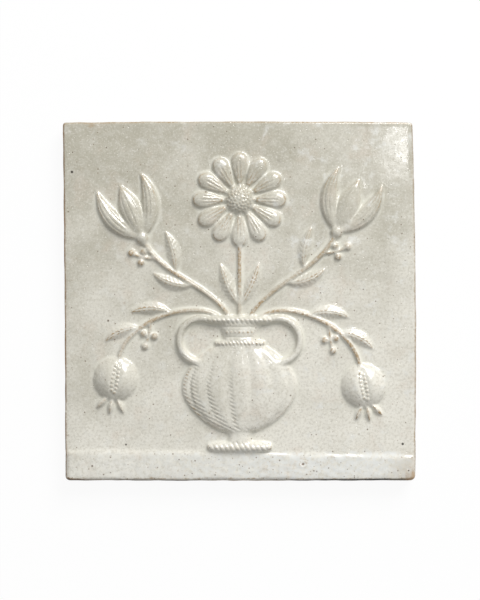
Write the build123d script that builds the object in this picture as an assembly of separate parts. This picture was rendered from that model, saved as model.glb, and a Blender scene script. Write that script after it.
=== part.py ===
"""A handmade stoneware relief tile, pressed and modelled in one piece.

The tile lies on its back with its face upwards. The origin is the middle of the back, Z points out of the
face and Y points to the top edge of the picture. Lengths are in millimetres and angles in degrees.

The face carries a vase of flowers in low relief. A gadrooned vase with two handles stands on a ledge, and out
of it grow a rosette, two tulips and two pomegranates. Each form is made as a maker lays it, from rolls and
pellets of clay that are pressed on the slab and trimmed with a knife to a few flats. The two sides of the
bouquet are laid by eye and differ a little.
"""

from build123d import *
import math
import os

# The slab
tile_width = 197.0  # across the middle, left to right
tile_height = 201.5  # from the bottom edge to the top edge
slab_thickness = 12.0  # from the back to the face, without the relief
lean = 1.5  # how far the top edge sits to the left of the bottom edge
right_bow = 1.2  # how far the right edge bulges out
left_hollow = 0.3  # how far the left edge curves in
top_bow = 0.6
bottom_bow = 0.2
top_corner_round = 1.8
bottom_corner_round = 2.8
face_arris = 1.6  # rounding of the edges of the face
back_bevel = 0.8  # of the edges of the back

# The keying grooves in the back, which take the adhesive
key_count = 6
key_pitch = 28.0
key_width = 6.0
key_depth = 1.4
key_margin = 18.0  # from a groove's end to the side of the tile

# The ledge under the vase
ledge_height = 15.5  # up the face, from the bottom edge
ledge_rise = 0.9  # proud of the face
ledge_bevel = 0.5
ledge_waviness = 0.8

# Rolls and pellets
root = 1.5  # how far they reach into the slab
few_sides = 8  # of a small pellet
many_sides = 16  # of a large one

# The vase
foot_length = 36.0
foot_thickness = 6.6
foot_rise = 4.2
ankle_width = 17.0
ankle_flare = 1.3  # how much wider it ends, under the belly
ankle_height = 6.0
ankle_rise = 3.6
belly_height = 49.0
belly_width = 65.0
belly_rise = 6.6
belly_levels = 7  # sections that shape it
gadroon_count = 7
gadroon_depth = 0.17  # of the grooves between the gadroons, as a share of the belly's rise and width
collar_length = 28.0
collar_thickness = 3.8
collar_rise = 5.4
neck_width = 21.0
neck_height = 13.0
neck_rise = 4.4
lip_length = 39.0
lip_thickness = 5.4
lip_rise = 5.4
handle_thickness = 4.8
handle_rise = 3.4
handle_reach = 14.0  # past the end of the lip
handle_root = 17.0  # from the middle of the vase, under the shoulder of the belly
handle_drop = 10.0  # from the collar down to that root

# The stems and leaves
stem_thickness = 3.2
stem_rise = 1.8
leaf_width = 8.6
leaf_rise = 2.6
twig_length = 13.0
twig_thickness = 2.2
twig_rise = 1.4
berry_radius = 2.4
berry_rise = 2.2

# The rosette
rosette_margin = 44.0  # from its middle to the top edge
rosette_radius = 26.5
petal_count = 12
petal_rise = 3.0
boss_radius = 8.6
boss_rise = 5.0

# The tulips
tulip_side_margin = 44.0  # from the base of the cup to the side of the tile
tulip_top_margin = 62.0  # and to the top edge
tulip_length = 32.0
tulip_lean = 23.0
tulip_width = 14.0  # of the middle petal
tulip_rise = 4.0
calyx_radius = 4.0
left_tulip_drop = 3.5  # how much lower the left tulip hangs

# The pomegranates
fruit_side_margin = 29.0
fruit_bottom_margin = 57.0
fruit_radius = 13.0
fruit_rise = 6.0
right_fruit_drop = 4.0
crown_length = 9.5
crown_width = 4.6
crown_rise = 2.7
slit_length = 19.0
slit_width = 8.0
slit_depth = 2.6

face = slab_thickness
ledge_top = -tile_height / 2 + ledge_height
belly_bottom = ledge_top + foot_thickness + ankle_height
belly_top = belly_bottom + belly_height
mouth = belly_top + neck_height

# Tapers of a roll, as rows of: how far along it, share of its full width, share of its full rise
BAR_END = [(0, 0.5, 0.6), (0.1, 0.88, 0.9), (0.3, 1, 1)]
BAR = [*BAR_END, (0.5, 1, 1), *[(1 - along, wide, high) for along, wide, high in reversed(BAR_END)]]
ANKLE = [(0, 1.2, 1), (0.5, 0.8, 0.9), (1, ankle_flare, 0.9)]
NECK = [(0, 0.95, 1), (0.5, 1, 1), (1, 1.4, 1)]
LEAF = [(0, 0.16, 0.3), (0.22, 0.72, 0.85), (0.5, 1, 1), (0.78, 0.66, 0.8), (1, 0.1, 0.15)]
PETAL = [(0, 0.3, 0.5), (0.4, 0.72, 0.85), (0.72, 1, 1), (0.93, 0.68, 0.75), (1, 0.25, 0.3)]

# How the top of a roll is trimmed, as points across it: share of half its width, share of its rise
RIDGED = [(-1, 0), (0, 1), (1, 0)]
FLAT_TOPPED = [(-1, 0), (-0.5, 1), (0.5, 1), (1, 0)]
ROUNDED = [(-1, 0), (-0.64, 0.7), (0, 1), (0.64, 0.7), (1, 0)]

# A gadroon, as rows of: how far across it, share of the belly's full size there
SCALLOP = [(0, 1 - gadroon_depth), (0.22, 1), (0.78, 1)]

# The rings of a pellet's dome, as shares of its radius
DOME = [1, 0.88, 0.66, 0.36]


def spot(x, y):
    """A point on the face."""
    return Vector(x, y, face)


def direction(heading):
    """The unit vector of a heading on the face, counted from +X towards +Y."""
    return Vector(1, 0, 0).rotate(Axis.Z, heading)


def heading_of(path, share):
    """The heading of a path at a share of its length."""
    way = path.tangent_at(share)
    return math.degrees(math.atan2(way.Y, way.X))


def bent(start, heading, length, turn=0):
    """A path of that length, which leaves start at a heading and turns by turn on its way."""
    if turn == 0:
        return Line(start, start + direction(heading) * length)
    return JernArc(start, direction(heading), length / math.radians(abs(turn)), turn)


def section(path, share, width, rise, trim, depth=root):
    """The section of a roll, square to its path, from a depth under the path to its trimmed top."""
    way = path.tangent_at(share)
    square = Plane(origin=path.position_at(share), x_dir=Vector(0, 0, 1).cross(way), z_dir=way)
    top = [(across * width / 2, up * rise) for across, up in trim]
    return square * make_face(Polyline((-width / 2, -depth), *top, (width / 2, -depth), close=True))


def roll(path, width, rise, taper, trim, depth=root):
    """A roll of clay that swells and thins along its path as the taper says."""
    return loft([section(path, share, width * wide, rise * high, trim, depth) for share, wide, high in taper])


def coil(path, width, rise):
    """A roll of clay of one thickness, for stems and handles."""
    return sweep(section(path, 0, width, rise, FLAT_TOPPED), path=path)


def pellet(middle, radius, rise, sides):
    """A pellet of clay with a domed top, trimmed to so many sides."""
    ball_radius = (radius ** 2 + rise ** 2) / (2 * rise)
    rings = [Pos(0, 0, -root) * RegularPolygon(radius, sides)]
    for share in DOME:
        up = rise - ball_radius + math.sqrt(ball_radius ** 2 - (radius * share) ** 2)
        rings.append(Pos(0, 0, up) * RegularPolygon(radius * share, sides))
    return Location(middle) * loft(rings, ruled=True)


def slab():
    """The slab, a little out of square, with soft corners and arrises."""
    x, y, shift = tile_width / 2, tile_height / 2, lean / 2
    bottom_left, bottom_right = (-x + shift, -y), (x + shift, -y)
    top_left, top_right = (-x - shift, y), (x - shift, y)
    outline = make_face(
        ThreePointArc(bottom_left, (0, -y - bottom_bow), bottom_right)
        + ThreePointArc(bottom_right, (x + right_bow, 0), top_right)
        + ThreePointArc(top_right, (0, y + top_bow), top_left)
        + ThreePointArc(top_left, (-x + left_hollow, 0), bottom_left)
    )
    outline = fillet(outline.vertices().sort_by(Axis.Y)[:2], bottom_corner_round)
    outline = fillet(outline.vertices().sort_by(Axis.Y)[-2:], top_corner_round)
    outline = outline.moved(Location(-outline.bounding_box().center()))
    body = extrude(outline, slab_thickness)
    body = fillet(body.edges().group_by(Axis.Z)[-1], face_arris)
    return chamfer(body.edges().group_by(Axis.Z)[0], back_bevel)


def ledge(body):
    """The low step along the bottom of the face, with bevelled edges and a hand-cut top line."""
    reach = tile_width
    top_line = Spline(
        spot(-reach, ledge_top),
        spot(-tile_width * 0.3, ledge_top + ledge_waviness),
        spot(0, ledge_top),
        spot(tile_width * 0.2, ledge_top - ledge_waviness),
        spot(reach, ledge_top),
    )
    below = Polyline(top_line @ 1, spot(reach, -tile_height), spot(-reach, -tile_height), top_line @ 0)
    strip = (body.faces().sort_by(Axis.Z)[-1] & make_face(top_line + below)).face()
    step = extrude(Face(strip.outer_wire()), ledge_rise, dir=(0, 0, 1))
    return chamfer(step.edges().group_by(Axis.Z)[-1], ledge_bevel)


def keys():
    """The grooves across the back, which run out before the sides."""
    half_length = tile_width / 2 - key_margin
    grooves = []
    for index in range(key_count):
        y = (index - (key_count - 1) / 2) * key_pitch
        left, right = (y - key_width / 2, 0), (y + key_width / 2, 0)
        hollow = make_face(ThreePointArc(left, (y, key_depth), right) + Line(right, left))
        grooves.append(extrude(Plane.YZ * hollow, half_length, both=True))
    return grooves


def bar(middle, length, thickness, rise):
    """A roll laid level across the vase."""
    half = Vector(length / 2, 0, 0)
    return roll(Line(middle - half, middle + half), thickness, rise, BAR, ROUNDED)


def belly():
    """The belly, lofted through level sections that the gadroons scallop."""
    bottom_share, top_share = ankle_width * ankle_flare / belly_width, neck_width / belly_width
    levels = []
    for level in range(belly_levels):
        share = level / (belly_levels - 1)
        swell = math.sin(math.pi * share) ** 0.75
        end_share = bottom_share + (top_share - bottom_share) * share
        half = belly_width / 2 * (end_share + (1 - end_share) * swell)
        rise = belly_rise * (0.6 + 0.4 * swell)
        top = []
        for index in range(gadroon_count):
            for across, proud in SCALLOP:
                around = math.radians(180 * (index + across) / gadroon_count - 90)
                top.append((half * proud * math.sin(around), rise * proud * math.cos(around)))
        top[0] = (-half, 0)
        outline = Polyline((-half, -root), *top, (half, 0), (half, -root), close=True)
        square = Plane(origin=spot(0, belly_bottom + belly_height * share), x_dir=(1, 0, 0), z_dir=(0, -1, 0))
        levels.append(square * make_face(outline))
    return loft(levels)


def handle(side):
    """A handle that springs from the shoulder of the belly and comes back to the lip."""
    path = ThreePointArc(
        spot(side * handle_root, belly_top - handle_drop),
        spot(side * (lip_length / 2 + handle_reach), belly_top + neck_height * 0.35),
        spot(side * (lip_length / 2 - lip_thickness / 2), mouth),
    )
    return coil(path, handle_thickness, handle_rise)


def vase():
    """The vase, from its foot up to its lip."""
    foot_middle = ledge_top + foot_thickness / 2
    ankle = Line(spot(0, foot_middle), spot(0, belly_bottom + ankle_height / 3))
    neck = Line(spot(0, belly_top - neck_height / 4), spot(0, mouth))
    return [
        bar(spot(0, foot_middle), foot_length, foot_thickness, foot_rise),
        roll(ankle, ankle_width, ankle_rise, ANKLE, ROUNDED),
        belly(),
        bar(spot(0, belly_top), collar_length, collar_thickness, collar_rise),
        roll(neck, neck_width, neck_rise, NECK, ROUNDED),
        bar(spot(0, mouth), lip_length, lip_thickness, lip_rise),
        handle(-1),
        handle(1),
    ]


def leaf(path, share, side, length, opening=40, curl=50):
    """A leaf that leaves a stem on one side, opening away from it and curling back along it."""
    track = bent(path.position_at(share), heading_of(path, share) + side * opening, length, -side * curl)
    return roll(track, leaf_width, leaf_rise, LEAF, RIDGED)


def sprig(path, share, side, opening, curl):
    """A twig with a berry at its end and one on each side."""
    twig = bent(path.position_at(share), heading_of(path, share) + side * opening, twig_length, -side * curl)
    pieces = [coil(twig, twig_thickness, twig_rise)]
    for along, turn, reach in ((1, 0, 0.6), (0.6, -90, 1.3), (0.6, 90, 1.3)):
        place = twig.position_at(along) + direction(heading_of(twig, along) + turn) * berry_radius * reach
        pieces.append(pellet(place, berry_radius, berry_rise, few_sides))
    return pieces


def rosette(middle):
    """A ring of petals round a boss."""
    inner = boss_radius * 0.7
    widest = inner + (rosette_radius - inner) * 0.72
    width = 2 * widest * math.sin(math.pi / petal_count) * 1.04
    petals = []
    for index in range(petal_count):
        heading = 90 + 360 * index / petal_count
        path = bent(middle + direction(heading) * inner, heading, rosette_radius - inner)
        petals.append(roll(path, width, petal_rise, PETAL, ROUNDED))
    return [pellet(middle, boss_radius, boss_rise, many_sides), *petals]


def tulip(base, heading):
    """A cup of three petals: one upright, and one that swells out on each side of it."""
    petals = [
        pellet(base, calyx_radius, tulip_rise * 0.9, few_sides),
        roll(bent(base, heading, tulip_length), tulip_width, tulip_rise, LEAF, ROUNDED),
    ]
    for side in (-1, 1):
        path = bent(base, heading + side * 52, tulip_length * 1.2, -side * 62)
        petals.append(roll(path, tulip_width * 0.78, tulip_rise * 0.85, LEAF, ROUNDED))
    return petals


def pomegranate(middle, heading):
    """A round fruit, split open along its dome, with a crown at the end that its heading points to."""
    half_slit = direction(heading) * slit_length / 2
    top = middle + Vector(0, 0, fruit_rise)
    drop = Vector(0, 0, fruit_rise * (slit_length / 2 / fruit_radius) ** 2)
    over_dome = ThreePointArc(top - half_slit - drop, top, top + half_slit - drop)
    split = roll(over_dome, slit_width, -slit_depth, LEAF, RIDGED, -slit_depth)
    pieces = [pellet(middle, fruit_radius, fruit_rise, many_sides) - split]
    for fan in (-34, 0, 34):
        start = middle + direction(heading + fan * 0.4) * (fruit_radius - crown_width / 2)
        pieces.append(roll(bent(start, heading + fan, crown_length), crown_width, crown_rise, LEAF, RIDGED))
    return pieces


def bouquet():
    """The flowers and fruit, and the stems that carry them from the mouth of the vase."""
    middle = spot(0, tile_height / 2 - rosette_margin)
    stem = Line(spot(0, mouth), middle - Vector(0, rosette_radius / 2, 0))
    pieces = [coil(stem, stem_thickness, stem_rise), *rosette(middle)]
    for side in (-1, 1):
        tulip_y = tile_height / 2 - tulip_top_margin - (left_tulip_drop if side < 0 else 0)
        fruit_y = -tile_height / 2 + fruit_bottom_margin - (right_fruit_drop if side > 0 else 0)
        cup = spot(side * (tile_width / 2 - tulip_side_margin), tulip_y)
        fruit = spot(side * (tile_width / 2 - fruit_side_margin), fruit_y)
        up, down = 90 - side * tulip_lean, -90 + side * 10
        stalk = Spline(
            spot(side * lip_length * 0.12, mouth),
            cup,
            tangents=(direction(90 - side * 28), direction(up)),
        )
        branch = Spline(
            spot(side * lip_length * 0.25, mouth),
            fruit - direction(down) * fruit_radius * 0.9,
            tangents=(direction(90 - side * 45), direction(down)),
        )
        pieces += [coil(stalk, stem_thickness, stem_rise), coil(branch, stem_thickness, stem_rise)]
        pieces += [*tulip(cup, up), *pomegranate(fruit, down)]
        pieces += [
            leaf(stem, 0.14, side, 27, 34, 20),
            leaf(stalk, 0.42, -side, 25),
            leaf(stalk, 0.6, side, 25, 58, 30),
            leaf(branch, 0.42, side, 24),
            leaf(branch, 0.7, side, 22),
            *sprig(stalk, 0.8, -side, 50, 30),
            *sprig(branch, 0.6, -side, 60, 20),
        ]
    return pieces


body = slab()
tile = body.fuse(ledge(body), *vase(), *bouquet()).cut(*keys())
tile.label = "tile"
os.makedirs("parts", exist_ok=True)
export_step(tile, "parts/tile.step")
print("tile", tile.bounding_box().size, "volume", round(tile.volume), "faces", len(tile.faces()))
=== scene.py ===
# %% [markdown]
# # A handmade relief tile in glazed stoneware
#
# The real tile is a slab of stoneware clay with a picture modelled on it in low relief, dipped in a
# glossy off-white glaze and fired. The CAD model gives every form at its true size. This lesson starts
# from a copy of that model, softens it the way wet clay and melted glaze soften it, carves the fine lines
# of the maker's tools, and gives it one procedural material for the glaze and for the bare clay of the
# back.
#
# Lengths are in metres in Blender. The modelling steps work in millimetres, which are easier to think in,
# and turn them to metres only when they write the mesh.

# %% Load the fixed frame
import math

import bmesh
import bpy
import numpy as np
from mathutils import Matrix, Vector


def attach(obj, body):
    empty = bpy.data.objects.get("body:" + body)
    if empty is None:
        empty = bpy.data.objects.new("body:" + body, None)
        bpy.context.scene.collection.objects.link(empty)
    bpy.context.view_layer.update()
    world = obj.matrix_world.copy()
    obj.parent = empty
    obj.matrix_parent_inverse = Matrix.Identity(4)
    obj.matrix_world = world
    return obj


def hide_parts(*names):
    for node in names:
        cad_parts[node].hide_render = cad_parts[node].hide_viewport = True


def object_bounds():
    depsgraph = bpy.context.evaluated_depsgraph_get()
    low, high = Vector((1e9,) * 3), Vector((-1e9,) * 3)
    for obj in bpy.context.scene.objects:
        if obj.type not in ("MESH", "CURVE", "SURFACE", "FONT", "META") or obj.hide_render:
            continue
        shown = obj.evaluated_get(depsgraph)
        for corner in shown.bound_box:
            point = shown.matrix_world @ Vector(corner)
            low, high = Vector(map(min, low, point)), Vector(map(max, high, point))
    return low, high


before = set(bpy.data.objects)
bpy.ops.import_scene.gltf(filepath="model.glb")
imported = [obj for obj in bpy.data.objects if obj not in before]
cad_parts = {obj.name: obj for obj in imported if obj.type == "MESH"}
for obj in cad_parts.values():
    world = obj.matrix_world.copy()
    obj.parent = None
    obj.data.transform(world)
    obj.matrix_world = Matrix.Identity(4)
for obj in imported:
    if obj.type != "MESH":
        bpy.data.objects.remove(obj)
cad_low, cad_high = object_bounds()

MM = 0.001
print("CAD box in mm:", [round(v / MM, 2) for v in cad_high - cad_low])

# %% [markdown]
# ## The camera
#
# The photograph looks at the tile squarely. The tile lies on its back here, so the camera hangs above it
# and looks straight down. A 100 mm lens stands far enough off to keep the edges nearly parallel, as they
# are in the photograph. The long side of the picture, 600 pixels at 0.5611 mm each, sets the distance.

# %% Hang the camera
PIXEL = 0.5611  # mm on the face of the tile, the same as in the photograph
LONG_SIDE = 600  # pixels
FACE = 12.0  # mm from the back to the face, without the relief
LENS, SENSOR = 100.0, 36.0  # mm
distance = LONG_SIDE * PIXEL * LENS / SENSOR

camera_data = bpy.data.cameras.new("camera")
camera_data.lens = LENS
camera_data.sensor_width = SENSOR
camera_data.clip_start, camera_data.clip_end = 0.01, 20.0
camera = bpy.data.objects.new("camera", camera_data)
bpy.context.scene.collection.objects.link(camera)
camera.location = Vector((0.5 * PIXEL, 1.0 * PIXEL, FACE + distance)) * MM
bpy.context.scene.camera = camera
print("camera height in mm:", round(FACE + distance))

# %% [markdown]
# ## Helpers for materials
#
# Colours are picked as sRGB hex values, the way a paint program shows them, and Blender's shaders count
# in linear light, so one function turns the first into the second. Another adds a node, gives it its
# settings and joins its inputs, which keeps each material readable as a list of what it does. A socket is
# given by its number or its name. Sockets that a setting hides keep their names, so the function takes
# the first one of that name that is in use.

# %% Helpers for materials
def linear(code):
    """The linear colour of an sRGB hex code such as "D3CFC4"."""
    parts = [int(code[i:i + 2], 16) / 255 for i in (0, 2, 4)]
    return (*[p / 12.92 if p <= 0.04045 else ((p + 0.055) / 1.055) ** 2.4 for p in parts], 1.0)


def add(tree, kind, inputs=None, **settings):
    """Adds one node. An input is a value, an output to link to it, or a node whose first output is linked."""
    node = tree.nodes.new(kind)
    for name, value in settings.items():
        setattr(node, name, value)
    for name, value in (inputs or {}).items():
        if isinstance(name, int):
            socket = node.inputs[name]
        else:
            socket = next(s for s in node.inputs if s.enabled and s.name == name)
        if isinstance(value, bpy.types.Node):
            value = next(s for s in value.outputs if s.enabled)
        if isinstance(value, bpy.types.NodeSocket):
            tree.links.new(value, socket)
        else:
            socket.default_value = value
    return node


def empty_material(name):
    """A material with no nodes yet, and its tree."""
    material = bpy.data.materials.new(name)
    material.use_nodes = True
    material.node_tree.nodes.clear()
    return material, material.node_tree


# %% [markdown]
# ## The floor and the light
#
# The photograph has a plain white ground and one large soft light above the tile and to the right, which
# leaves bright streaks on the flanks that face it and soft shade on the others. The floor is white paper:
# it takes the tile's shadow, and to the camera it also glows a little, so that it comes out white without
# more light on the tile. Seen from below, the paper is clear, so that the back of the tile can be looked
# at.

# %% Lay the paper
PAPER = 3.0  # m, the side of the sheet
PAPER_DROP = 0.1  # mm, so that the back of the tile and the paper don't share a plane
GLOW = 0.93  # how much of what the camera sees of the paper is glow

paper, tree = empty_material("white seamless paper")
on_paper = add(tree, "ShaderNodeTexCoord").outputs["Object"]
grain = add(tree, "ShaderNodeTexNoise", {"Vector": on_paper, "Scale": 900.0, "Detail": 3.0})
tint = add(tree, "ShaderNodeMix", {
    "Factor": grain, "A": linear("F4F4F3"), "B": linear("F8F8F8"),
}, data_type="RGBA")
matte = add(tree, "ShaderNodeBsdfDiffuse", {"Color": tint})
glow = add(tree, "ShaderNodeEmission", {"Color": linear("FFFFFF"), "Strength": 1.0})
ray = add(tree, "ShaderNodeLightPath")
seen = ray.outputs["Is Camera Ray"]
for kind in ("Is Glossy Ray", "Is Transmission Ray"):
    seen = add(tree, "ShaderNodeMath", {0: seen, 1: ray.outputs[kind]}, operation="MAXIMUM")
share = add(tree, "ShaderNodeMath", {0: seen, 1: GLOW}, operation="MULTIPLY")
front = add(tree, "ShaderNodeMixShader", {0: share, 1: matte, 2: glow})
clear = add(tree, "ShaderNodeBsdfTransparent")
underside = add(tree, "ShaderNodeNewGeometry").outputs["Backfacing"]
both_sides = add(tree, "ShaderNodeMixShader", {0: underside, 1: front, 2: clear})
add(tree, "ShaderNodeOutputMaterial", {"Surface": both_sides})

sheet = bmesh.new()
bmesh.ops.create_grid(sheet, x_segments=2, y_segments=2, size=PAPER / 2)
bmesh.ops.translate(sheet, verts=sheet.verts, vec=(0, 0, -PAPER_DROP * MM))
floor_mesh = bpy.data.meshes.new("paper_floor")
sheet.to_mesh(floor_mesh)
sheet.free()
floor_mesh.materials.append(paper)
floor = bpy.data.objects.new("paper_floor", floor_mesh)
bpy.context.scene.collection.objects.link(floor)
print("paper:", PAPER, "m wide, with", len(tree.nodes), "nodes in its material")

# %% [markdown]
# The main lamp is a big soft box, and an even sky fills the shade. A second lamp, as small as a distant
# window, stands close to the camera, where the level glaze of the upper right corner mirrors it as a
# patch of glare.

# %% Light the tile
SKY = 0.385  # the strength of the sky

world = bpy.data.worlds.new("even sky")
world.use_nodes = True
world.node_tree.nodes.clear()
sky = add(world.node_tree, "ShaderNodeBackground", {"Color": linear("FFFFFF"), "Strength": SKY})
add(world.node_tree, "ShaderNodeOutputWorld", {"Surface": sky})
bpy.context.scene.world = world


def soft_box(name, place, width, height, power):
    """Hangs a flat lamp that faces the middle of the tile. Places and sizes in metres, power in watts."""
    data = bpy.data.lights.new(name, "AREA")
    data.shape, data.size, data.size_y, data.energy = "RECTANGLE", width, height, power
    lamp = bpy.data.objects.new(name, data)
    bpy.context.scene.collection.objects.link(lamp)
    lamp.location = Vector(place)
    lamp.rotation_euler = (-Vector(place)).to_track_quat("-Z", "Y").to_euler()
    print(name, "stands off by", round(lamp.location.length, 2), "m")


soft_box("key soft box", place=(0.80, 1.54, 1.38), width=1.25, height=1.25, power=53.0)
soft_box("small window", place=(0.189, 0.181, 0.95), width=0.024, height=0.052, power=0.17)
bpy.context.scene.view_settings.view_transform = "Standard"

# %% [markdown]
# ## The clay
#
# The CAD mesh is made of loose triangles, large on the flats and slim on the rolls. Carving needs small,
# even faces, so a copy of the mesh is merged and then rebuilt by a voxel remesh, which samples the solid
# on a fine grid. The grid is 0.45 mm, a little over half the width of the finest line that will be
# carved.

# %% Copy the tile and rebuild it in small, even faces
GRAIN = 0.45  # mm, the size of a face while the clay is worked

copy = bmesh.new()
copy.from_mesh(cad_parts["tile"].data)
bmesh.ops.remove_doubles(copy, verts=copy.verts, dist=0.001 * MM)
clay_mesh = bpy.data.meshes.new("clay")
copy.to_mesh(clay_mesh)
copy.free()
clay = bpy.data.objects.new("clay", clay_mesh)
bpy.context.scene.collection.objects.link(clay)


def apply_modifiers(thing):
    """The mesh of an object with its modifiers applied. The object keeps none of them."""
    view = bpy.context.evaluated_depsgraph_get()
    made = bpy.data.meshes.new_from_object(thing.evaluated_get(view))
    thing.modifiers.clear()
    thing.data = made
    return made


remesh = clay.modifiers.new("even faces", "REMESH")
remesh.mode = "VOXEL"
remesh.voxel_size = GRAIN * MM
clay_mesh = apply_modifiers(clay)
print("faces to carve:", len(clay_mesh.polygons))

# %% [markdown]
# ## Arrays to work the clay with
#
# Half a million points are too many for a Python loop, so the points go into one array, in millimetres,
# and every step moves them all at once. Sponging is a Laplacian smoothing: each point moves part of the
# way to the mean of its neighbours. A mask says how much each point takes part.

# %% Points, neighbours and sponging
def read_points(mesh, name="co", scale=1 / MM):
    """The places or the normals of the mesh's vertices, as rows of x, y and z. Places are in millimetres."""
    flat = np.empty(len(mesh.vertices) * 3)
    mesh.vertices.foreach_get(name, flat)
    return flat.reshape(-1, 3) * scale


def write_points(mesh, points):
    """Puts the points, in millimetres, back into the mesh."""
    mesh.vertices.foreach_set("co", (points * MM).ravel())
    mesh.update()


def read_edges(mesh):
    """The two ends of every edge, as two rows of vertex numbers."""
    flat = np.empty(len(mesh.edges) * 2, int)
    mesh.edges.foreach_get("vertices", flat)
    return flat.reshape(-1, 2).T


def sponge(points, edges, times, strength=0.5):
    """Moves each point towards the mean of its neighbours, that many times. strength may be a mask."""
    one, other = edges
    count = len(points)
    neighbours = np.bincount(one, minlength=count) + np.bincount(other, minlength=count)
    strength = np.broadcast_to(np.asarray(strength, float), (count,))
    columns = [points[:, axis].copy() for axis in range(3)]
    for _ in range(times):
        for column in columns:
            total = np.bincount(one, column[other], count) + np.bincount(other, column[one], count)
            column += (total / neighbours - column) * strength
    return np.stack(columns, 1)


def smooth_step(low, high, value):
    """0 below low, 1 above high, and an even curve between them."""
    share = np.clip((value - low) / (high - low), 0, 1)
    return share * share * (3 - 2 * share)


def facing(mesh, points):
    """The outward direction of the surface at each point."""
    write_points(mesh, points)
    return read_points(mesh, "normal", 1)


points = read_points(clay_mesh)
edges = read_edges(clay_mesh)
print("points:", len(points), "edges:", edges.shape[1])

# %% [markdown]
# ## Sponging the forms
#
# Under the glaze nothing on the tile is sharp. A few passes soften every edge by about half a millimetre.
# The thick forms, which the maker would smooth with a wet sponge, get many more, so that the flats left
# by the knife run into each other and the belly of the vase, the petals and the fruit become round.

# %% Sponge every edge a little and the thick forms a lot
points = sponge(points, edges, 6)
thick = smooth_step(1.5, 3.2, points[:, 2] - FACE)
points = sponge(points, edges, 36, 0.5 * thick)
points = sponge(points, edges, 3)
print("highest point in mm:", round(points[:, 2].max(), 2))

# %% [markdown]
# ## Where the forms lie
#
# These places are the CAD model's own, in millimetres on the face, with x to the right and y up. Leaves
# and petals grow along arcs: each has a start, the heading that it leaves with, a length, and the angle
# that it turns through, in degrees. One function turns points of the tile into how far they lie along and
# across such an arc.

# %% Places of the forms
ROSETTE = (0.0, 56.75)
FRUITS = [((-69.5, -43.75), -100.0), ((69.5, -47.75), -80.0)]  # middle and heading
TULIPS = [((-54.5, 35.25), 113.0), ((54.5, 38.75), 67.0)]  # base and heading
LEAVES = [  # start, heading, length and turn
    ((0.0, -3.07), 56.0, 27.0, 20.0), ((0.0, -3.07), 124.0, 27.0, -20.0),
    ((-25.53, 8.85), 188.1, 25.0, -50.0), ((25.58, 10.25), -5.1, 25.0, 50.0),
    ((-36.04, 15.41), 88.6, 25.0, 30.0), ((36.06, 17.59), 94.4, 25.0, -30.0),
    ((-37.96, -6.81), 154.5, 24.0, 50.0), ((38.68, -8.01), 21.0, 24.0, -50.0),
    ((-55.76, -15.17), 176.7, 22.0, 50.0), ((56.22, -18.04), -1.1, 22.0, -50.0),
]
LEDGE_TOP = -85.25
BELLY_BOTTOM, BELLY_TOP, MOUTH = -72.65, -23.65, -10.65


def arc_frame(x, y, start, heading, length, turn=0.0):
    """How far along an arc each point lies, from 0 to 1, and how far to the left of it, in millimetres."""
    way = math.radians(heading)
    ahead, left = (math.cos(way), math.sin(way)), (-math.sin(way), math.cos(way))
    dx, dy = x - start[0], y - start[1]
    if turn == 0:
        return (dx * ahead[0] + dy * ahead[1]) / length, dx * left[0] + dy * left[1]
    side, radius = math.copysign(1, turn), length / math.radians(abs(turn))
    cx, cy = dx - left[0] * radius * side, dy - left[1] * radius * side
    start_angle = math.atan2(-left[1] * side, -left[0] * side)
    swept = (np.arctan2(cy, cx) - start_angle) * side
    swept = (swept + math.pi) % (2 * math.pi) - math.pi
    return swept / math.radians(abs(turn)), (radius - np.hypot(cx, cy)) * side


# %% [markdown]
# ## The hand-pressed slab
#
# A slab pressed by hand is never quite flat. Long gentle waves and some shallow dents are added to the
# face, a tenth or two of a millimetre deep. They hardly show as shape, but a glossy glaze turns them into
# soft patches of light and shade. The waves are a sum of sines with directions and lengths drawn from a
# seeded generator, so they are the same each time.

# %% Press gentle waves and dents into the face
chance = np.random.default_rng(20)
DENTS = 26
LEVEL_CORNER = (88.0, 84.0)  # the glaze lay still here, over 26 mm or so


def waves(x, y, count, shortest, longest):
    """A sum of sine waves of those lengths in all directions, mostly between -1 and 1."""
    total = np.zeros(len(x))
    for _ in range(count):
        length = math.exp(chance.uniform(math.log(shortest), math.log(longest)))
        heading, phase = chance.uniform(0, math.pi), chance.uniform(0, 2 * math.pi)
        across = (x * math.cos(heading) + y * math.sin(heading)) * 2 * math.pi / length
        total += np.sin(across + phase)
    return total / math.sqrt(count)


def dent(x, y, place, radius):
    """1 in the middle of a round dent, falling softly to 0."""
    return np.exp(-((x - place[0]) ** 2 + (y - place[1]) ** 2) / radius ** 2)


x, y, z = points.T
outward = facing(clay_mesh, points)
on_face = smooth_step(0.2, 0.8, outward[:, 2]) * smooth_step(8.5, 11.0, z)
relief = smooth_step(0.35, 1.2, z - FACE)

shift = 0.11 * waves(x, y, 16, 22, 70)
shift += 0.022 * waves(x, y, 24, 7, 14)
for _ in range(DENTS):
    place = chance.uniform(-92, 92, 2)
    shift -= chance.uniform(0.08, 0.2) * dent(x, y, place, chance.uniform(3.5, 8.0))
on_ledge = smooth_step(-0.5, 2.0, LEDGE_TOP - y)
shift += on_ledge * (0.10 * waves(x, y, 24, 3, 9) - 0.05)
shift *= 1 - 0.85 * dent(x, y, LEVEL_CORNER, 26.0)
points[:, 2] += shift * on_face * (1 - 0.5 * relief)
print("waves and dents in mm:", round(shift.min(), 2), "to", round(shift.max(), 2))

# %% [markdown]
# The upper edge of the ledge was smeared with a thumb in some places and left crisp in others, so it is
# sponged through a mask that comes and goes along it.

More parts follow.
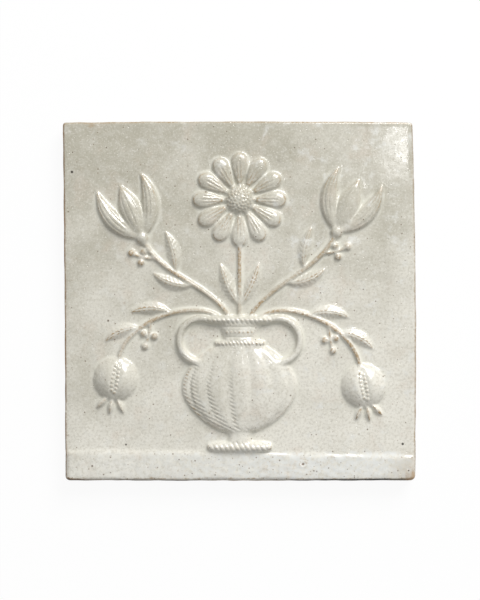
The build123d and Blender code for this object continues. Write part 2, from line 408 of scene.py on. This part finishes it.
# %% Smear the edge of the ledge
smeared = smooth_step(-0.5, 0.3, waves(x, 0 * y, 5, 24, 60))
at_step = np.exp(-((y - LEDGE_TOP) / 2.2) ** 2) * (1 - smooth_step(1.3, 2.2, points[:, 2] - FACE))
points = sponge(points, edges, 40, 0.5 * at_step * smeared)
print("points smeared by more than half:", int((at_step * smeared > 0.5).sum()))

# %% [markdown]
# A grain of grit burst in the firing and left a pit in the ledge, with a low rim round it.

# %% Pit the ledge
PIT = (35.6, -91.5)
PIT_DEPTH, PIT_LIP = 0.5, 0.15  # mm

x, y, z = points.T
far = np.hypot((x - PIT[0]) / 1.25, y - PIT[1])
burst = PIT_LIP * np.exp(-((far - 1.5) / 0.5) ** 2) - PIT_DEPTH * np.exp(-(far / 0.8) ** 2)
points[:, 2] += burst * (z > FACE - 1)
print("points in the pit:", int((far < 1).sum()))

# %% [markdown]
# ## Carving the forms
#
# The maker drew on the leather-hard clay with a pointed tool: veins on the petals and leaves, a rope
# pattern round the lip, short slanted strokes where a form turns into shade. Each stroke is a shallow
# groove, so a carving is a depth for every point, and the deepest stroke wins where strokes cross. A
# groove is 0.2 to 0.45 mm deep and 0.7 to 0.85 mm wide, as fine as the faces can hold.

# %% Grooves and beads
carved = np.zeros(len(points))
raised = np.zeros(len(points))


def groove(offset, width, depth, where=1.0):
    """Cuts a rounded groove where offset, in millimetres, is near 0."""
    np.minimum(carved, -depth * np.exp(-(offset / (width / 2)) ** 2) * where, out=carved)


def nearest_line(value, pitch):
    """How far each value is from the nearest multiple of pitch."""
    return (value / pitch - np.round(value / pitch)) * pitch


def bead(place, radius, height, where=1.0):
    """Raises a small round bead."""
    far = np.hypot(x - place[0], y - place[1]) / radius
    np.maximum(raised, height * np.sqrt(np.clip(1 - far ** 2, 0, 1)) * where, out=raised)


def band(value, low, high, edge):
    """1 between low and high, with soft edges."""
    return smooth_step(low, low + edge, value) * (1 - smooth_step(high - edge, high, value))


x, y, z = points.T
lift = z - FACE

# %% [markdown]
# ### The vase
#
# The lip, the collar and the foot are rolls that were nicked like a rope. The neck has a row of small
# beads between two rings. The gadroons of the belly get short strokes on the side that faces away from
# the light.

# %% Carve the vase
ROLLS = [  # the lip, collar and foot: y of the middle, half the length, half the width, pitch of the rope
    (MOUTH, 19.5, 2.7, 2.6), (BELLY_TOP, 14.0, 1.9, 2.1), (LEDGE_TOP + 3.3, 18.0, 3.3, 2.9),
]
RINGS = (MOUTH - 4.0, BELLY_TOP + 3.4)
BEAD_PITCH = 2.35

for level, half_length, half_width, pitch in ROLLS:
    on_roll = band(x, -half_length, half_length, 1.2)
    on_roll *= band(y, level - half_width, level + half_width, 0.7)
    groove(nearest_line(x + 0.55 * (y - level), pitch), 0.85, 0.42, on_roll * smooth_step(1.2, 2.2, lift))

on_neck = band(x, -10.8, 10.8, 1.0) * smooth_step(1.5, 2.5, lift)
for level in RINGS:
    groove(y - level, 0.8, 0.4, on_neck * band(y, BELLY_TOP + 1.5, MOUTH - 2.0, 0.5))
for index in range(-4, 5):
    bead((index * BEAD_PITCH, sum(RINGS) / 2), 0.85, 0.45, smooth_step(1.5, 2.5, lift))

outward = facing(clay_mesh, points)
shade = smooth_step(0.07, 0.28, -(outward[:, 0] * 0.80 + outward[:, 1] * 0.60))
on_belly = band(y, BELLY_BOTTOM - 1, BELLY_TOP - 2.0, 2.0) * smooth_step(0.8, 1.6, lift)
on_belly *= band(x, -33, 33, 1)
groove(nearest_line(0.45 * x + y * 0.9, 1.9), 0.85, 0.36, shade * on_belly)
print("points carved on the vase:", int((carved < -0.05).sum()), "deepest in mm:", round(-carved.min(), 2))

# %% [markdown]
# ### The rosette
#
# Each petal has a line down its middle and a shorter one on each side of it. The boss is packed with
# seeds that turn in a spiral, each at the golden angle from the last, as on a daisy.

# %% Carve the rosette
PETALS = 12
dx, dy = x - ROSETTE[0], y - ROSETTE[1]
far, around = np.hypot(dx, dy), np.arctan2(dx, dy)
on_rosette = smooth_step(0.5, 1.2, lift) * (far < 30)
petal_angle = nearest_line(around, 2 * math.pi / PETALS)
groove(petal_angle * far, 0.85, 0.45, band(far, 9.5, 23.0, 3.0) * on_rosette)
for side in (-1, 1):
    groove((petal_angle - side * 0.105) * far, 0.7, 0.28, band(far, 12.0, 22.0, 3.5) * on_rosette)

SEEDS = 60
BOSS = 8.1  # mm, how far the seeds reach
GOLDEN_ANGLE = math.radians(137.508)
for index in range(SEEDS):
    reach, turned = BOSS * math.sqrt((index + 0.5) / SEEDS), index * GOLDEN_ANGLE
    place = (ROSETTE[0] + reach * math.cos(turned), ROSETTE[1] + reach * math.sin(turned))
    bead(place, 0.82, 0.5, smooth_step(1.0, 2.2, lift))
groove(far - 8.9, 0.8, 0.3, on_rosette)
print("petals:", PETALS, "seeds:", SEEDS)

# %% [markdown]
# ### The tulips and the leaves
#
# The lines run with the growth. On a tulip's petal three of them follow its arc. A leaf has a rib down
# the middle, and side veins that leave it slanting towards the tip.

# %% Carve the tulips and the leaves
TULIP_PETALS = [  # lean from the tulip's heading, length, turn and half the width
    (0, 32.0, 0.0, 7.0), (52, 38.4, -62.0, 5.4), (-52, 38.4, 62.0, 5.4),
]
LEAF_HALF_WIDTH = 4.3

for base, heading in TULIPS:
    for lean, length, turn, half_width in TULIP_PETALS:
        along, across = arc_frame(x, y, base, heading + lean, length, turn)
        swell = np.sin(math.pi * np.clip(along, 0, 1)) ** 0.8 * half_width
        on_petal = band(along, 0.2, 0.9, 0.16) * smooth_step(0.9, 1.8, lift) * (np.abs(across) < swell)
        for share in (-0.45, 0.0, 0.45):
            groove(across - share * swell, 0.75, 0.3 if share else 0.4, on_petal)

for start, heading, length, turn in LEAVES:
    along, across = arc_frame(x, y, start, heading, length, turn)
    swell = np.sin(math.pi * np.clip(along, 0, 1)) * LEAF_HALF_WIDTH
    on_leaf = band(along, 0.12, 0.94, 0.12) * smooth_step(0.3, 0.8, lift) * (np.abs(across) < swell)
    groove(across, 0.8, 0.32, on_leaf)
    veins = nearest_line(along * length - np.abs(across) * 0.9, 2.7)
    groove(veins, 0.7, 0.2, on_leaf * smooth_step(0.3, 0.9, np.abs(across)) * band(along, 0.16, 0.85, 0.1))
print("points carved so far:", int((carved < -0.05).sum()))

# %% [markdown]
# ### The pomegranates
#
# The ripe fruit splits, and its seeds show in the split. The seeds are beads in two rows. The skin round
# them is pricked with a point, deeply on the shaded side and hardly at all in the light.

# %% Carve the pomegranates
PRICKS = 150

for middle, heading in FRUITS:
    along, across = arc_frame(x, y, middle, heading, 1.0)
    way = math.radians(heading)
    in_split = (np.abs(across) < 3.4) & (np.abs(along) < 8.5)
    for row, start in ((-1, 0.0), (1, 1.15)):
        for step in range(-3, 4):
            ahead, aside = step * 2.3 + start - 0.6, row * 1.05 * (1 - (step / 4.5) ** 2)
            place = (
                middle[0] + ahead * math.cos(way) - aside * math.sin(way),
                middle[1] + ahead * math.sin(way) + aside * math.cos(way),
            )
            bead(place, 1.2, 0.85, in_split)
    on_fruit = (x - middle[0]) ** 2 + (y - middle[1]) ** 2 < 13.5 ** 2
    for _ in range(PRICKS):
        reach, turned = 12.0 * math.sqrt(chance.uniform()), chance.uniform(0, 2 * math.pi)
        place = (middle[0] + reach * math.cos(turned), middle[1] + reach * math.sin(turned))
        prick = np.hypot(x - place[0], y - place[1])
        groove(prick, 0.75, 0.22, on_fruit * ~in_split * (0.25 + 0.75 * shade) * smooth_step(1.0, 2.0, lift))
print("points carved in all:", int((carved < -0.05).sum()), "raised:", int((raised > 0).sum()))

# %% [markdown]
# ### Letting the glaze settle
#
# The carving is applied along the height of the tile, because a relief is cut from above. Then a last
# light sponging stands for the glaze, which melts, fills the bottoms of the strokes and rounds their
# edges.

# %% Apply the carving and let the glaze settle
points[:, 2] += np.where(raised > 0, raised, carved) * on_face
points = sponge(points, edges, 2, 0.4)
print("highest point in mm:", round(points[:, 2].max(), 2))

# %% [markdown]
# ## The sides and the back
#
# The edge of the face was pared with a knife, so it is squarer than a quarter circle, most of all along
# the foot and the left side. Its points move outwards by just what turns the circle into a squarer curve
# of the same width.

# %% Firm up the edge of the face
ARRIS = 1.6  # mm, the radius of the CAD model's rounded edge
SQUARENESS = 6  # 2 is a quarter circle, and more is squarer
HALF_WIDTH, HALF_HEIGHT = 99.5, 101.2  # mm, of the slab

x, y, z = points.T
outward = facing(clay_mesh, points)
at_rim = smooth_step(0.965, 0.98, np.maximum(np.abs(x) / HALF_WIDTH, np.abs(y) / HALF_HEIGHT))
at_rim *= smooth_step(9.6, 10.2, z)
sideways, upright = np.hypot(outward[:, 0], outward[:, 1]), np.clip(outward[:, 2], 0, 1)
least = 2 * 0.5 ** (SQUARENESS / 2)  # of the sum below, where the edge slopes at 45 degrees
squared = np.maximum(sideways ** SQUARENESS + upright ** SQUARENESS, least) ** (-1 / SQUARENESS)
firm = 0.35 + 0.65 * smooth_step(-1.2, 0.2, waves(x, y, 6, 20, 60))
firm *= 1 - 0.8 * smooth_step(94, 97, np.maximum(x, y))
points += outward * (ARRIS * (squared - 1) * at_rim * firm)[:, None]
print("edge moved out by at most, in mm:", round((ARRIS * (squared - 1) * at_rim * firm).max(), 2))

# %% [markdown]
# The tile was dipped face down, so the glaze ends in a wavering line low on the sides, with a slight step
# down to the bare clay. Below the line and all over the back the clay stays bare, because glaze there
# would weld the tile to the shelf of the kiln.

# %% Step the sides back to the bare clay
GLAZE_LINE = 3.4  # mm above the back, on average
GLAZE_STEP = 0.28  # mm, from the glaze in to the clay

x, y, z = points.T
outward = facing(clay_mesh, points)
around = np.arctan2(y, x)
line = GLAZE_LINE + 0.7 * np.sin(around * 5 + 1.0)
line += 0.45 * np.sin(around * 13 + 2.0)
line += 0.25 * np.sin(around * 29)
on_side = smooth_step(0.6, 0.9, np.hypot(outward[:, 0], outward[:, 1]))
below = 1 - smooth_step(-0.35, 0.35, z - line)
uneven = 0.10 * waves(x + z, y - z, 14, 8, 30) - 0.12
points[:, :2] += outward[:, :2] * (np.minimum(uneven, 0) * on_side - GLAZE_STEP * below * on_side)[:, None]
bare = np.clip(below * on_side + smooth_step(0.1, 0.6, -outward[:, 2]), 0, 1)
print("the glaze ends", round(line.min(), 1), "to", round(line.max(), 1), "mm above the back")

# %% [markdown]
# ## How thick the glaze lies
#
# Melted glaze runs off crests and gathers in hollows. It is white where it is thick, and the brown clay
# burns through where it is thin. Sponging a copy of the points shows which is which: a crest moves
# inwards and a hollow outwards. A short sponging finds fine edges and a long one finds the creases beside
# the big forms. The results are stored as attributes, which the material reads.

# %% Measure crests and hollows
outward = facing(clay_mesh, points)
fine = ((sponge(points, edges, 4) - points) * outward).sum(1)
broad = ((sponge(points, edges, 40) - points) * outward).sum(1)
x, y, z = points.T
fine *= 1 - 0.5 * (fine < 0) * smooth_step(1.7, 2.6, z - FACE)
ledge = smooth_step(-3.0, 3.0, LEDGE_TOP - y) * smooth_step(8.0, 11.0, z)

# %% [markdown]
# Along the edges of the face the glaze is thinnest, so the clay burns through in a brown rim: strong on the
# left, weaker at the foot and on the right, and hardly there at the top. Along the very corner of the foot a
# near-black line of painted shadow stands for the shade under the foot's edge. It is wider to the right and
# not there at all under the middle.

# %% Measure the rims
RIM_STRENGTHS = {"left": 0.8, "right": 0.45, "top": 0.15, "foot": 0.5}


def inset(along, outwards):
    """How far each point lies inside the outermost points beside it, in millimetres."""
    slots = np.round(along / 2).astype(int)
    slots -= slots.min()
    outermost = np.full(slots.max() + 1, -np.inf)
    np.maximum.at(outermost, slots, outwards)
    return np.interp(along, along.min() + 2 * np.arange(len(outermost)), outermost) - outwards


insets = {"left": inset(y, -x), "right": inset(y, x), "top": inset(x, y), "foot": inset(x, -y)}
rim = np.zeros(len(points))
for name, strength in RIM_STRENGTHS.items():
    rim = np.maximum(rim, strength * (1 - smooth_step(0.7, 1.4, insets[name])))
rim *= smooth_step(10.2, 11.2, z)
# painted shadow: a near-black line along the edge of the foot, wider to the right and left out under the
# middle
shadow_stretch = 0.85 * smooth_step(8, 22, np.abs(x + 2)) + 0.15 * smooth_step(10, 40, x)
shadow_line_width = 0.65 + 0.55 * smooth_step(15, 70, x)
painted_foot_shadow = 1 - smooth_step(-0.2, 0.25, insets["foot"] - shadow_line_width)
painted_foot_shadow *= smooth_step(11.2, 12.0, z)
painted_foot_shadow *= shadow_stretch

kept = {
    "fine_hollow": fine, "broad_hollow": broad, "bare_clay": bare,
    "ledge": ledge, "rim": rim, "painted_foot_shadow": painted_foot_shadow,
}
for name, values in kept.items():
    layer = clay_mesh.attributes.new(name, "FLOAT", "POINT")
    layer.data.foreach_set("value", values.astype(np.float32))
    print(name, "from", round(values.min(), 2), "to", round(values.max(), 2))

# %% [markdown]
# ## Fewer faces
#
# The flat back and the calm ground hold far more faces than they need. A Decimate modifier merges the
# faces that say least about the shape and keeps the carved ones.

# %% Thin the mesh
MOST_TRIANGLES = 190_000

points = np.clip(points, np.array(cad_low) / MM, np.array(cad_high) / MM)
write_points(clay_mesh, points)
thin = clay.modifiers.new("thin flat parts", "DECIMATE")
thin.ratio = MOST_TRIANGLES / (2 * len(clay_mesh.polygons))
thin.use_collapse_triangulate = True
tile_mesh = apply_modifiers(clay)
tile_mesh.name = "glazed_relief_tile"
tile = clay
tile.name = "glazed_relief_tile"
tile_mesh.shade_smooth()
print("triangles:", len(tile_mesh.polygons), "attributes:", [a.name for a in tile_mesh.attributes])

# %% [markdown]
# ## The glaze
#
# A glossy off-white stoneware glaze is a layer of cloudy glass over speckled clay, so it has the IOR of a
# heavy glass, 1.6, and a low roughness. Its colour is never even: it is mottled where the melt was
# uneven, cooler and whiter where it pools, tan where it breaks over an edge, and iron in the clay bleeds
# through as dark specks with brown rims. The bare clay of the back is matte, sandy and buff.
#
# Every layer of it is a colour with a share that says where it lies. Most shares come from noise, so one
# function makes them: it adds a noise of a real size and a soft step that turns the noise into a share.

# %% Read what was measured
material, tree = empty_material("glossy off-white stoneware glaze")
on_tile = add(tree, "ShaderNodeTexCoord").outputs["Object"]
measured = {name: add(tree, "ShaderNodeAttribute", attribute_name=name).outputs["Fac"] for name in kept}


def cloudy(size, low, high, start=0.0, end=1.0, detail=3.0, roughness=0.6):
    """A share that goes from start to end as noise, in patches of that many mm, goes from low to high."""
    patches = add(tree, "ShaderNodeTexNoise", {
        "Vector": on_tile, "Scale": 1 / (size * MM), "Detail": detail, "Roughness": roughness,
    })
    return add(tree, "ShaderNodeMapRange", {
        "Value": patches, "From Min": low, "From Max": high, "To Min": start, "To Max": end,
    }, interpolation_type="SMOOTHSTEP")


# %% [markdown]
# ### The melt
#
# The glaze colour is drawn paler towards the foot and a little towards the right. Over that slow change lie
# patches of 4 to 30 mm and a grain of 1 to 1.5 mm, which is what keeps the ground from looking like plastic.
# The real grain is finer still, down to 0.2 mm, and is drawn this coarse because the picture can't show less.

# %% Mix the melt
# a slow change from darker at the top to paler towards the foot and a little towards the right
down_and_right = add(tree, "ShaderNodeVectorMath", {0: on_tile, 1: (1.0, -5.4, 0.0)}, operation="DOT_PRODUCT")
paleness = add(tree, "ShaderNodeMath", {0: down_and_right, 1: cloudy(30.0, 0.2, 0.8, -0.35, 0.35)}, operation="ADD")
paleness = add(tree, "ShaderNodeMapRange", {
    "Value": paleness, "From Min": -0.75, "From Max": 0.75,
}, interpolation_type="SMOOTHSTEP")
colour = add(tree, "ShaderNodeMix", {
    "Factor": paleness, "A": linear("B5B1A1"), "B": linear("E9E6DB"),
}, data_type="RGBA")
for share, tone in (
    (cloudy(4.5, 0.38, 0.72, 0.0, 0.22), "E4E2D9"),  # pale clouds
    (cloudy(17.0, 0.52, 0.74, 0.0, 0.28, 4.0), "D2C0AE"),  # a warm blush
    (cloudy(1.5, 0.42, 0.68, 0.0, 0.36, 3.0, 0.7), "A39D8C"),  # dark grain
    (cloudy(1.1, 0.50, 0.72, 0.0, 0.40, 3.0, 0.7), "F2F0E8"),  # light grain
):
    colour = add(tree, "ShaderNodeMix", {"Factor": share, "A": colour, "B": linear(tone)}, data_type="RGBA")
print("nodes so far:", len(tree.nodes))

# %% [markdown]
# ### Pools and thin places
#
# In creases and on the ledge at the foot the glaze is thick and milky. On crests it is so thin that it lets
# the brown clay through, most of all along the edges of the slab. The ledge has its milk in patches, more of
# them to the right. A near-black line of painted shadow runs along the foot's edge.

# %% Pool the glaze and thin it
ragged = add(tree, "ShaderNodeMath", {
    0: measured["ledge"], 1: cloudy(9.0, 0.25, 0.75, -0.6, 0.6, 4.0),
}, operation="ADD")
ledge_share = add(tree, "ShaderNodeMapRange", {
    "Value": ragged, "From Min": 0.15, "From Max": 0.85,
}, interpolation_type="SMOOTHSTEP")
to_right = add(tree, "ShaderNodeVectorMath", {0: on_tile, 1: (1.0, 0.0, 0.0)}, operation="DOT_PRODUCT")
milk = add(tree, "ShaderNodeMapRange", {
    "Value": to_right, "From Min": -0.09, "From Max": 0.03, "To Min": 0.2, "To Max": 0.95,
})
milk = add(tree, "ShaderNodeMath", {0: ledge_share, 1: milk}, operation="MULTIPLY")
pool = add(tree, "ShaderNodeMapRange", {
    "Value": measured["broad_hollow"], "From Min": 0.03, "From Max": 0.28,
}, interpolation_type="SMOOTHSTEP")
crest = add(tree, "ShaderNodeMapRange", {
    "Value": measured["fine_hollow"], "From Min": -0.016, "From Max": -0.05,
}, interpolation_type="SMOOTHSTEP")
in_stretches = cloudy(22.0, 0.35, 0.62, 0.35, 1.0, 2.0, 0.5)
crest = add(tree, "ShaderNodeMath", {0: crest, 1: in_stretches}, operation="MULTIPLY")
for share, tone in (
    (cloudy(3.2, 0.34, 0.60, 0.0, milk, 4.0, 0.7), "E5E6E2"),
    (cloudy(12.0, 0.2, 0.7, 0.0, pool, 2.0, 0.5), "DEDCCF"),
    (cloudy(1.5, 0.25, 0.65, 0.0, crest), "A88F6B"),
    (cloudy(2.5, 0.26, 0.50, 0.0, measured["rim"], 4.0), "7E5F40"),
    # painted shadow along the foot's edge, near black
    (cloudy(5.0, 0.22, 0.40, 0.0, measured["painted_foot_shadow"]), "1F1812"),
):
    colour = add(tree, "ShaderNodeMix", {"Factor": share, "A": colour, "B": linear(tone)}, data_type="RGBA")
print("nodes so far:", len(tree.nodes))

# %% [markdown]
# ### Scorched corners
#
# At the lower right corner and near the upper left one the flame reached the tile and turned the glaze
# tan. Each patch is a distance from a place, made ragged with noise.

# %% Scorch two corners
def near(x, y, inner, outer, most, ragged=12.0):
    """A share that fades out from inner to outer, round a place on the face. All but most in mm."""
    middle = (x * MM, y * MM, FACE * MM)
    far = add(tree, "ShaderNodeVectorMath", {0: on_tile, 1: middle}, operation="DISTANCE")
    spread = cloudy(3.0, 0.0, 1.0, -ragged / 2 * MM, ragged / 2 * MM, 4.0)
    far = add(tree, "ShaderNodeMath", {0: far, 1: spread}, operation="ADD")
    return add(tree, "ShaderNodeMapRange", {
        "Value": far, "From Min": inner * MM, "From Max": outer * MM, "To Min": most, "To Max": 0.0,
    }, interpolation_type="SMOOTHSTEP")


for share, tone in (
    (near(97.0, -97.0, 3.0, 19.0, 0.40), "B9AC96"),
    (near(98.5, -100.0, 0.5, 7.0, 0.75), "A4845C"),
    (near(-84.0, 101.0, 0.5, 5.0, 0.5), "A88B66"),
):
    colour = add(tree, "ShaderNodeMix", {"Factor": share, "A": colour, "B": linear(tone)}, data_type="RGBA")
print("nodes so far:", len(tree.nodes))

# %% [markdown]
# ### Iron specks
#
# Each cell of a Voronoi pattern holds at most one speck, and its random colour says whether it has one
# and how big it is. Small specks are about half a millimetre wide, and the few large ones a millimetre.
# The finest are like dust and have no rim. The boldest ones, most of them on the ledge, are listed one by
# one. The pit in the ledge gets a white halo and a brown floor here too.

# %% Scatter the iron specks
def specks(cell, most, share, strength=1.0):
    """Specks of up to that radius in that share of the cells, and the brown rims round them. Sizes in mm."""
    dots = add(tree, "ShaderNodeTexVoronoi", {"Vector": on_tile, "Scale": 1 / (cell * MM)})
    parts = add(tree, "ShaderNodeSeparateColor", {"Color": dots.outputs["Color"]})
    chosen = add(tree, "ShaderNodeMath", {0: parts.outputs["Red"], 1: 1 - share}, operation="GREATER_THAN")
    chosen = add(tree, "ShaderNodeMath", {0: chosen, 1: strength}, operation="MULTIPLY")
    radius = add(tree, "ShaderNodeMapRange", {
        "Value": parts.outputs["Green"], "To Min": 0.4 * most / cell, "To Max": most / cell,
    })
    far = add(tree, "ShaderNodeMath", {0: dots.outputs["Distance"], 1: radius}, operation="DIVIDE")
    core, rim = [
        add(tree, "ShaderNodeMapRange", {
            "Value": far, "From Min": inner, "From Max": outer, "To Min": chosen, "To Max": 0.0,
        }, interpolation_type="SMOOTHSTEP")
        for inner, outer in ((0.6, 1.0), (0.9, 1.9))
    ]
    return core, rim


dust_core = specks(1.3, 0.24, 0.40, 0.35)[0]
small_core, small_rim = specks(2.4, 0.36, 0.22, 0.9)
large_core, large_rim = specks(9.0, 0.64, 0.20, 0.9)
ledge_core, ledge_rim = specks(1.9, 0.40, 0.20, ledge_share)
BOLD_SPECKS = [  # x, y and radius
    (-80.7, -91.9, 0.6), (-73.0, -96.2, 0.7), (-61.4, -92.2, 0.7), (-63.7, -80.5, 0.6),
    (-14.0, -86.9, 0.6), (91.6, -80.2, 0.7), (-94.0, 72.4, 0.8), (PIT[0] + 0.4, PIT[1] - 0.5, 0.6),
]
halo = near(*PIT, 1.4, 2.6, 0.9, 1.5)
colour = add(tree, "ShaderNodeMix", {"Factor": halo, "A": colour, "B": linear("F2F1EA")}, data_type="RGBA")
scar = near(*PIT, 0.3, 1.3, 0.9, 1.5)
colour = add(tree, "ShaderNodeMix", {"Factor": scar, "A": colour, "B": linear("6E4F33")}, data_type="RGBA")
for share in (dust_core, small_rim, large_rim, ledge_rim):
    faint = add(tree, "ShaderNodeMath", {0: share, 1: 0.4}, operation="MULTIPLY")
    colour = add(tree, "ShaderNodeMix", {
        "Factor": faint, "A": colour, "B": linear("94785A"),
    }, data_type="RGBA")
for share in (
    small_core, large_core, ledge_core,
    *[near(x, y, radius * 0.5, radius * 1.3, 0.95, 0.8) for x, y, radius in BOLD_SPECKS],
):
    colour = add(tree, "ShaderNodeMix", {
        "Factor": share, "A": colour, "B": linear("322A22"),
    }, data_type="RGBA")
print("nodes so far:", len(tree.nodes))

# %% [markdown]
# ### The bare clay and the finish
#
# The back and the foot of the sides are buff stoneware: sandy grains of 0.6 mm in two browns, quite
# matte. The glaze's own surface is nearly as smooth as window glass, a little duller on the ledge, with
# the faint orange peel of a melt, 2 to 3 mm across, and pinholes where gas came through it. Such a
# surface is far too shallow to model, so bump nodes draw it.

# %% Finish the surface
clay_colour = add(tree, "ShaderNodeMix", {
    "Factor": cloudy(9.0, 0.35, 0.65), "A": linear("B79C7B"), "B": linear("C7B08F"),
}, data_type="RGBA")
for share, tone in ((cloudy(0.7, 0.5, 0.7, 0.0, 0.5), "97795A"), (small_core, "4A3D30")):
    clay_colour = add(tree, "ShaderNodeMix", {
        "Factor": share, "A": clay_colour, "B": linear(tone),
    }, data_type="RGBA")
wavering = add(tree, "ShaderNodeMath", {
    0: measured["bare_clay"], 1: cloudy(2.2, 0.0, 1.0, -0.35, 0.35),
}, operation="ADD")
bare_mask = add(tree, "ShaderNodeMapRange", {
    "Value": wavering, "From Min": 0.35, "From Max": 0.65,
}, interpolation_type="SMOOTHSTEP")
burnt = add(tree, "ShaderNodeMapRange", {
    "Value": measured["bare_clay"], "From Min": 0.02, "From Max": 0.4, "To Max": 0.8,
}, interpolation_type="SMOOTHSTEP")
for share, tone in ((burnt, linear("A8824F")), (bare_mask, clay_colour)):
    colour = add(tree, "ShaderNodeMix", {"Factor": share, "A": colour, "B": tone}, data_type="RGBA")

duller = add(tree, "ShaderNodeMath", {0: ledge_share, 1: 0.10}, operation="MULTIPLY")
gloss = add(tree, "ShaderNodeMath", {0: duller, 1: cloudy(6.0, 0.3, 0.75, 0.12, 0.18)}, operation="ADD")
roughness = add(tree, "ShaderNodeMix", {"Factor": bare_mask, "A": gloss, "B": 0.85}, data_type="FLOAT")

pinholes = add(tree, "ShaderNodeTexVoronoi", {"Vector": on_tile, "Scale": 1 / (3.4 * MM)})
pinholes = add(tree, "ShaderNodeMapRange", {
    "Value": pinholes, "From Min": 0.05, "From Max": 0.14,
}, interpolation_type="SMOOTHSTEP")
sand = cloudy(0.6, 0.2, 0.8, 0.0, bare_mask, 3.0, 0.7)
peel, fine_peel = cloudy(3.2, 0.2, 0.8, detail=0.0), cloudy(1.6, 0.2, 0.8, detail=0.0)
surface = None
for height, depth in ((peel, 0.008), (fine_peel, 0.003), (pinholes, 0.10), (sand, 0.20)):  # mm deep
    inputs = {"Height": height, "Distance": depth * MM, "Strength": 1.0}
    if surface:
        inputs["Normal"] = surface
    surface = add(tree, "ShaderNodeBump", inputs)

shader = add(tree, "ShaderNodeBsdfPrincipled", {
    "Base Color": colour, "Roughness": roughness, "IOR": 1.6, "Normal": surface,
})
add(tree, "ShaderNodeOutputMaterial", {"Surface": shader})
tile_mesh.materials.clear()
tile_mesh.materials.append(material)
print("nodes in the finished glaze:", len(tree.nodes))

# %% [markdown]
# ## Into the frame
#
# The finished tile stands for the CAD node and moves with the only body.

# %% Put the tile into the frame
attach(tile, "root")
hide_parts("tile")
